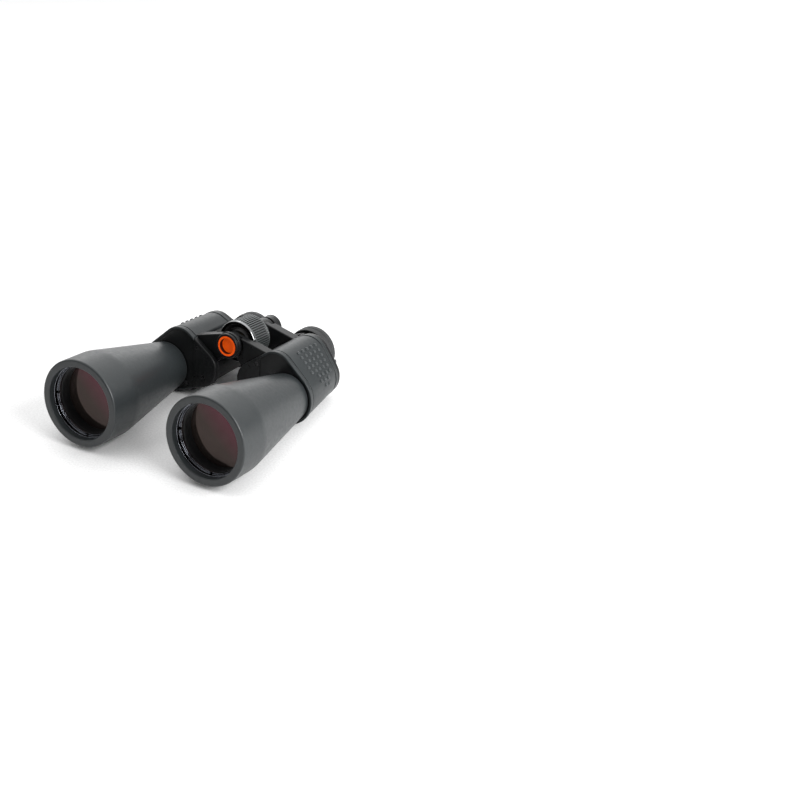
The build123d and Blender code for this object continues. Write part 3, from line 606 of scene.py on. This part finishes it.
def even_steps(line, count):
    """count points at even steps along a line of (x, z) points."""
    runs = [0.0]
    for a, b in zip(line, line[1:]):
        runs.append(runs[-1] + hypot(b[0] - a[0], b[1] - a[1]))
    made, leg = [], 0
    for step in range(count):
        target = runs[-1] * step / (count - 1)
        while leg < len(runs) - 2 and runs[leg + 1] < target:
            leg += 1
        share = (target - runs[leg]) / max(1e-9, runs[leg + 1] - runs[leg])
        a, b = line[leg], line[leg + 1]
        made.append((a[0] + (b[0] - a[0]) * share, a[1] + (b[1] - a[1]) * share))
    return made


def skirt_outline(y, inset, count):
    """The part of the outline outside the inner edge of the skirt, from the bottom round to the top."""
    lobes = lobes_at(y, inset)
    line = [hull_point(lobes, -pi / 2 - 0.6 + (pi + 1.8) * step / 900) for step in range(901)]
    inside = [place for place, point in enumerate(line) if point[0] > SKIRT_INNER_X]
    first, last = inside[0], inside[-1]
    ends = []
    for within, without in ((first, first - 1), (last, last + 1)):
        a, b = line[within], line[without]
        share = (a[0] - SKIRT_INNER_X) / (a[0] - b[0])
        ends.append((SKIRT_INNER_X, a[1] + (b[1] - a[1]) * share))
    return even_steps([ends[0]] + line[first:last + 1] + [ends[1]], count)


def skirt(side):
    """Points and faces of the wrap: a thick front bead, a groove, the main panel and a low rear rib."""
    columns = 190
    front, back = BODY_FRONT, BODY_BACK
    groove = front + BEAD_WIDTH
    outline = rounded((
        (front, SKIN),
        (front, 0.0, 1.1),
        (groove, 0.0, 1.0),
        (groove + 0.1, 1.1, 0.25),
        (groove + 0.9, 1.1, 0.25),
        (groove + 1.1, PANEL_INSET, 0.5),
        (back - 5.2, PANEL_INSET, 0.4),
        (back - 5.0, PANEL_INSET + 0.45, 0.3),
        (back - 4.2, PANEL_INSET + 0.45, 0.3),
        (back - 4.0, 0.02, 0.5),
        (back, 0.02, 0.9),
        (back, SKIN),
    ))
    border, column_step, most_sunk = 1.3, 0.62, 0.85
    points = []
    for y, inset in outline:
        points += [(x, y, z) for x, z in skirt_outline(y, inset, columns)]
    rows = len(outline)
    for row, (y, inset) in enumerate(outline):
        surface_in = skirt_outline(y, SKIN, columns)
        for step in range(columns):
            from_end = min(step, columns - 1 - step) * column_step
            if from_end < border:
                drop = 1 - sqrt(max(0.0, 1 - (1 - from_end / border) ** 2))
                x, _, z = points[row * columns + step]
                to_x, to_z = surface_in[step]
                share = min(most_sunk, drop) if inset < SKIN - 0.01 else 0.0
                points[row * columns + step] = (x + (to_x - x) * share, y, z + (to_z - z) * share)
    points = [(SIDES[side] * x, y, z) for x, y, z in points]
    faces = []
    for row in range(rows):
        following = (row + 1) % rows
        for step in range(columns - 1):
            start, end = row * columns + step, following * columns + step
            faces.append((start, start + 1, end + 1, end))
    faces.append([row * columns for row in range(rows)])
    faces.append([row * columns + columns - 1 for row in range(rows)])
    return points, faces


def stud(x, y, z, way):
    """Points and faces of one low round stud at a point, facing along way."""
    rings, around = 4, 16
    out = Vector((way[0], 0, way[1]))
    side_way = Vector((0, 1, 0))
    up_way = out.cross(side_way)
    sunk = 0.25
    root = Vector((x, y, z)) - out * sunk
    points = []
    for ring_step in range(rings):
        share = ring_step / rings
        radius = STUD_RADIUS * cos(share * pi / 2) ** 0.6
        height = sunk + STUD_HEIGHT * sin(share * pi / 2)
        height = 0.0 if ring_step == 0 else height
        for step in range(around):
            angle = 2 * pi * step / around
            points.append(root + out * height + side_way * radius * cos(angle) + up_way * radius * sin(angle))
    points.append(root + out * (sunk + STUD_HEIGHT))
    faces = [tuple(reversed(range(around)))]
    for ring_step in range(rings - 1):
        for step in range(around):
            after = (step + 1) % around
            start, end = ring_step * around, (ring_step + 1) * around
            faces.append((start + step, start + after, end + after, end + step))
    last = (rings - 1) * around
    faces += [(last + step, last + (step + 1) % around, rings * around) for step in range(around)]
    return [tuple(point) for point in points], faces


def stud_field(side):
    """The grid of grip studs on the outer side of the skirt."""
    first_row_x = 58.3
    made = []
    for column in range(STUD_COLUMNS):
        y = BODY_FRONT + 18.0 + column * STUD_PITCH_Y
        lobes = lobes_at(y, PANEL_INSET)
        line = even_steps([hull_point(lobes, pi / 2 - pi * step / 600) for step in range(601)], 2400)
        travelled, row = 0.0, 0
        place = next(place for place, point in enumerate(line) if point[0] > first_row_x)
        while row < len(STUD_ROWS):
            if travelled >= row * STUD_PITCH_ROUND:
                low, high = STUD_ROWS[row]
                if low <= column < high:
                    a, b = line[place], line[place + 1]
                    along = Vector((b[0] - a[0], b[1] - a[1])).normalized()
                    made.append((a[0], y, a[1], (-along.y, along.x)))
                row += 1
            else:
                a, b = line[place], line[place + 1]
                travelled += hypot(b[0] - a[0], b[1] - a[1])
                place += 1
    studs = []
    for x, y, z, way in made:
        studs.append(stud(SIDES[side] * x, y, z, (SIDES[side] * way[0], way[1])))
    return studs


def armour(side):
    """Rubber armour of one housing: the wrap, and the studs in a smoother rubber painted lighter as a
    highlight.
    """
    stand_for(mesh_object(f"{side}_armour", *skirt(side)), f"{side}_body_armour", HALF[side], None)
    points, faces = [], []
    for some_points, some_faces in stud_field(side):
        base = len(points)
        points += some_points
        faces += [tuple(corner + base for corner in face) for face in some_faces]
    piece = mesh_object(f"{side}_studs", points, faces)
    return stand_for(piece, f"{side}_body_armour", HALF[side], STUD_PAINTED_HIGHLIGHT_RUBBER)


# --- Hinge and focus wheel ------------------------------------------------------------------------------
HINGE_BORE = 8.05


def cap():
    """Screw cap over the tripod socket, two-tiered, with a deep dish for the badge."""
    floor_plane = seat("cap_badge")[2] + DISH_DEEPER
    web = seat("hinge_pin")[1] - 0.1
    outline = (
        (floor_plane, 0.0),
        (floor_plane, BADGE_RADIUS + 0.1),
        (CAP_FRONT, BADGE_RADIUS + 0.1, 0.15),
        (CAP_FRONT, CAP_RADIUS - 0.7, 0.8),
        (CAP_FRONT + 2.3, CAP_RADIUS - 0.6, 0.15),
        (CAP_FRONT + 2.5, CAP_RADIUS - 1.0, 0.15),
        (CAP_FRONT + 2.9, CAP_RADIUS - 1.0, 0.15),
        (CAP_FRONT + 3.1, CAP_RADIUS, 0.4),
        (CAP_BACK, CAP_RADIUS, 0.4),
        (CAP_BACK, HINGE_BORE),
        (web, HINGE_BORE),
        (web, 0.0),
    )
    piece = turned("tripod_cap", HINGE_AXIS, outline, 160)
    return stand_for(piece, "socket_cap", "socket_cap", None)


def badge():
    """Plain orange dish: a raised ring, a sloping wall that its material paints dark as shade, and a low dome
    at the bottom.
    """
    axis, front, back, outer = seat("cap_badge")
    back += DISH_DEEPER
    dish_floor = back - 0.45
    outline = (
        (dish_floor - 0.3, 0.0),
        (dish_floor - 0.22, 2.5),
        (dish_floor, DISH_RADIUS),
        (front, DISH_RADIUS + 0.2, 0.1),
        (front, outer, 0.2),
        (back, outer),
        (back, 0.0),
    )
    piece = turned("orange_dish", axis, outline, 128)
    return stand_for(piece, "cap_badge", "socket_cap", None)


def grip():
    """Rubber tyre of the wheel, with ribs that fade out at both ends."""
    axis, front, back, radius = seat("wheel_grip")
    bore = seat("wheel_hub")[3] + 0.05
    ribs = 54
    outline = [(front, bore), (front, radius, 0.5)]
    rings = 14
    inset = 0.8
    for step in range(rings):
        outline.append((front + inset + (back - front - 2 * inset) * step / (rings - 1), radius))
    outline += [(back, radius, 0.5), (back, bore)]
    warp = fluted(ribs, 1.1, front + 0.5, back - 0.5, radius - 0.3)
    piece = turned("ribbed_grip", axis, outline, ribs * 10, warp)
    return stand_for(piece, "wheel_grip", "focus_wheel", None)


def hub():
    """Core of the wheel with its dished front face."""
    axis, front, back, radius = seat("wheel_hub")
    outline = (
        (front + 0.8, HINGE_BORE),
        (front + 0.8, 9.2, 0.3),
        (front + 3.4, 12.0, 1.5),
        (front, radius - 1.4, 0.5),
        (front, radius, 0.15),
        (back, radius, 0.6),
        (back, 12.0, 0.3),
        (back - 0.8, 11.4, 0.3),
        (back - 0.8, HINGE_BORE),
    )
    piece = turned("dished_hub", axis, outline, 160)
    return stand_for(piece, "wheel_hub", "focus_wheel", CELL_BLACK)


def trim():
    """Polished ring round the front of the wheel."""
    axis, front, back, radius = seat("wheel_trim")
    inner = seat("wheel_hub")[3] - 0.6
    outline = (
        (front + 0.5, inner, 0.15),
        (front + 0.5, radius - TRIM_LIP, 0.1),
        (front, radius - TRIM_LIP + 0.1, 0.15),
        (front, radius - 0.4, 0.2),
        (front + 0.5, radius, 0.25),
        (back, radius, 0.25),
        (back, inner + 0.65),
        (front + 0.95, inner + 0.65),
        (front + 0.95, inner),
    )
    piece = turned("chrome_ring", axis, outline, 192)
    return stand_for(piece, "wheel_trim", "focus_wheel", None)


def knob():
    """Domed cap on the end of the spindle, with a turned groove."""
    axis, front, back, radius = seat("bridge_cap")
    outline = (
        (front, 0.0),
        (front, radius - 0.3, 0.2),
        (front + 0.8, radius, 0.3),
        (front + 1.5, radius - 0.6, 0.4),
        (back - 0.25, 7.6, 0.2),
        (back - 0.5, 7.2, 0.15),
        (back - 0.5, 6.6, 0.15),
        (back - 0.2, 6.2, 0.2),
        (back, 0.0),
    )
    piece = turned("spindle_knob", axis, outline, 128)
    return stand_for(piece, "bridge_cap", "bridge", EYE_BLACK)


# --- Eyepieces ------------------------------------------------------------------------------------------
SLEEVE_RADIUS = 13.0


def sleeve(side):
    """Sliding sleeve between the rear cover and the eyepiece ring."""
    axis, front, back, radius = seat(f"{side}_eyepiece_sleeve")
    bore = 11.6
    outline = (
        (front, bore, 0.15),
        (front, radius, 0.3),
        (back, radius, 0.3),
        (back, bore, 0.3),
    )
    piece = turned(f"{side}_sleeve", axis, outline, 160)
    return stand_for(piece, f"{side}_eyepiece_sleeve", CARRIAGE[side], EYE_BLACK)


def fluted_ring(side):
    """Finger ring behind the bridge, with rounded flutes."""
    axis, front, back, radius = seat(f"{side}_eyepiece_ring")
    flutes = 36
    outline = [(front, SLEEVE_RADIUS + 0.05), (front, radius, 0.35)]
    rings = 8
    for step in range(rings):
        outline.append((front + 0.6 + (back - front - 1.2) * step / (rings - 1), radius))
    outline += [(back, radius, 0.35), (back, 16.0, 0.2), (back - 0.4, 15.6, 0.2)]
    outline += [(back - 0.4, 14.4, 0.2), (back, 14.0, 0.2), (back, SLEEVE_RADIUS + 0.05)]
    warp = fluted(flutes, 0.55, front + 0.3, back - 0.3, radius - 0.3, 0.8)
    piece = turned(f"{side}_fluted_ring", axis, outline, flutes * 12, warp)
    return stand_for(piece, f"{side}_eyepiece_ring", RING_BODY[side], EYE_BLACK)


def ocular_head(side):
    """Inner tube of the eyepiece and its head, dished in fine steps towards the eye lens."""
    axis, front, back, radius = seat(f"{side}_ocular_barrel")
    bore, tube = 10.2, 11.55
    head = back - 7.0
    steps = 6
    outline = [(front, bore), (front, tube, 0.3), (head, tube), (head, radius, 0.5)]
    outline += [(back, radius, 0.5), (back, 14.2, 0.3)]
    for step in range(steps):
        depth = 0.2 + step * 0.36
        r = 13.8 - step * 0.56
        outline += [(back - depth, r, 0.05), (back - depth, r - 0.4, 0.05)]
    outline += [(back - 2.4, 10.4), (back - 2.4, 9.6, 0.1), (back - 3.2, 9.6, 0.1), (back - 3.2, bore)]
    piece = turned(f"{side}_ocular_head", axis, outline, 160)
    return stand_for(piece, f"{side}_ocular_barrel", OCULAR[side], EYE_BLACK)


def eye_glass(side):
    """Eye lens, bulging on both faces."""
    axis, front, back, radius = seat(f"{side}_eye_lens")
    outline = lens_outline(front, back, radius, 60.0, 42.0, 14)
    piece = turned(f"{side}_eye_glass", axis, outline, 128)
    return stand_for(piece, f"{side}_eye_lens", OCULAR[side], EYE_GLASS)


def soft_eyecup(side):
    """Fold-down rubber cup: two fold grooves outside, a rolled lip, and a soft slope inside."""
    axis, front, back, radius = seat(f"{side}_eyecup")
    web = front + 3.0
    skirt_bore = 19.5
    outline = [(front, skirt_bore, 0.3), (front, radius - 0.6, 0.5), (front + 3.9, radius, 0.8)]
    for start in (front + 4.6, front + 6.2):
        outline += [
            (start, radius, 0.15),
            (start + 0.3, radius - 0.4, 0.15),
            (start + 0.6, radius - 0.4, 0.15),
            (start + 0.9, radius, 0.15),
        ]
    outline += [
        (back, radius, 0.9),
        (back, radius - 2.3, 0.9),
        (back - 1.8, radius - 2.7, 0.8),
        (web + 1.8, 17.05, 0.6),
        (web, 17.05),
        (web, skirt_bore, 0.3),
    ]
    piece = turned(f"{side}_soft_eyecup", axis, outline, 192)
    return stand_for(piece, f"{side}_eyecup", f"{side}_eyecup", None)


# --- Stage ----------------------------------------------------------------------------------------------
FLOOR_TILT, FLOOR_DROP, FLOOR_RADIUS = 8.06, 0.2, 14.0
BRIGHT_SIDE = (-0.3, 0.3, 0.9)
ROOM_DIM, ROOM_BRIGHT = 0.07, 1.75
# Each soft box: its name, place, size and power in watts. It faces the origin.
SOFTBOXES = (
    ("side_box", (1.35, -0.1, 0.75), (1.4, 1.0), 38.0),
    ("back_strip", (-0.81, 1.14, 0.56), (0.9, 0.35), 1.6),
)
CAMERA_MIDDLE = (0.0, 0.0, 42.5)
CAMERA_AZIMUTH, CAMERA_ELEVATION, CAMERA_DISTANCE = 35.371, 21.171, 1107.0
CAMERA_PAN, CAMERA_TILT, CAMERA_ROLL = 7.781, -0.846, 4.0815
CAMERA_LENS = 60.144


def floor():
    """Plain pale floor, tilted to lie just under the hoods' creases and the eyecups."""
    work = bmesh.new()
    bmesh.ops.create_circle(work, cap_ends=True, segments=96, radius=FLOOR_RADIUS)
    mesh = bpy.data.meshes.new("floor")
    work.to_mesh(mesh)
    work.free()
    piece = bpy.data.objects.new("floor", mesh)
    bpy.context.scene.collection.objects.link(piece)
    tilt = Matrix.Rotation(radians(FLOOR_TILT), 4, "X")
    piece.matrix_world = Matrix.Translation((0, CREASE * MM, -FLOOR_DROP * MM)) @ tilt
    piece.data.materials.append(surface("floor_paper", (0.93, 0.93, 0.93), 0.7, 1.5, 0.01, mottle=0.005))


def lights():
    """A white room that is bright overhead and dim low down, a large soft box and a faint strip behind."""
    world = bpy.data.worlds.new("studio")
    bpy.context.scene.world = world
    world.use_nodes = True
    tree = world.node_tree
    way = node(tree, "TexCoord").outputs["Generated"]
    towards = node(tree, "VectorMath", {0: way, 1: Vector(BRIGHT_SIDE).normalized()}, operation="DOT_PRODUCT")
    inputs = {"Value": towards.outputs["Value"], "From Min": 0.1, "From Max": 1.0}
    inputs.update({"To Min": ROOM_DIM, "To Max": ROOM_BRIGHT})
    strength = node(tree, "MapRange", inputs, interpolation_type="SMOOTHSTEP").outputs[0]
    tree.links.new(strength, tree.nodes["Background"].inputs["Strength"])
    tree.nodes["Background"].inputs["Color"].default_value = (1.0, 1.0, 1.0, 1.0)
    for name, place, size, watts in SOFTBOXES:
        light = bpy.data.lights.new(name, "AREA")
        light.shape = "RECTANGLE"
        light.size, light.size_y = size
        light.energy = watts
        lamp = bpy.data.objects.new(name, light)
        bpy.context.scene.collection.objects.link(lamp)
        lamp.location = place
        lamp.rotation_euler = (-Vector(place)).to_track_quat("-Z", "Y").to_euler()


def camera():
    """Camera before the left half and a little above, looking past the binoculars, and rolled a little."""
    azimuth, elevation = radians(CAMERA_AZIMUTH), radians(CAMERA_ELEVATION)
    back = Vector((sin(azimuth) * cos(elevation), -cos(azimuth) * cos(elevation), sin(elevation)))
    right = Vector((cos(azimuth), sin(azimuth), 0))
    up = back.cross(right)
    look = (-back + tan(radians(CAMERA_PAN)) * right + tan(radians(CAMERA_TILT)) * up).normalized()
    level = look.cross(Vector((0, 0, 1))).normalized()
    above = level.cross(look)
    roll = radians(CAMERA_ROLL)
    rolled = level * cos(roll) + above * sin(roll)
    rolled_up = above * cos(roll) - level * sin(roll)
    data = bpy.data.cameras.new("camera")
    data.lens = CAMERA_LENS
    data.sensor_width = 36.0
    data.clip_start, data.clip_end = 0.05, 60.0
    eye = bpy.data.objects.new("camera", data)
    bpy.context.scene.collection.objects.link(eye)
    turn = Matrix((rolled, rolled_up, -look)).transposed().to_4x4()
    eye.matrix_world = Matrix.Translation((Vector(CAMERA_MIDDLE) + back * CAMERA_DISTANCE) * MM) @ turn
    bpy.context.scene.camera = eye


dress_frame()
for side_name in SIDES:
    barrel_skin(side_name)
    barrel_tube(side_name)
    lock_ring(side_name)
    light_trap(side_name)
    crown_glass(side_name)
    armour(side_name)
    sleeve(side_name)
    fluted_ring(side_name)
    ocular_head(side_name)
    eye_glass(side_name)
    soft_eyecup(side_name)
cap()
badge()
grip()
hub()
trim()
knob()
floor()
lights()
camera()
bpy.context.scene.view_settings.view_transform = "Standard"
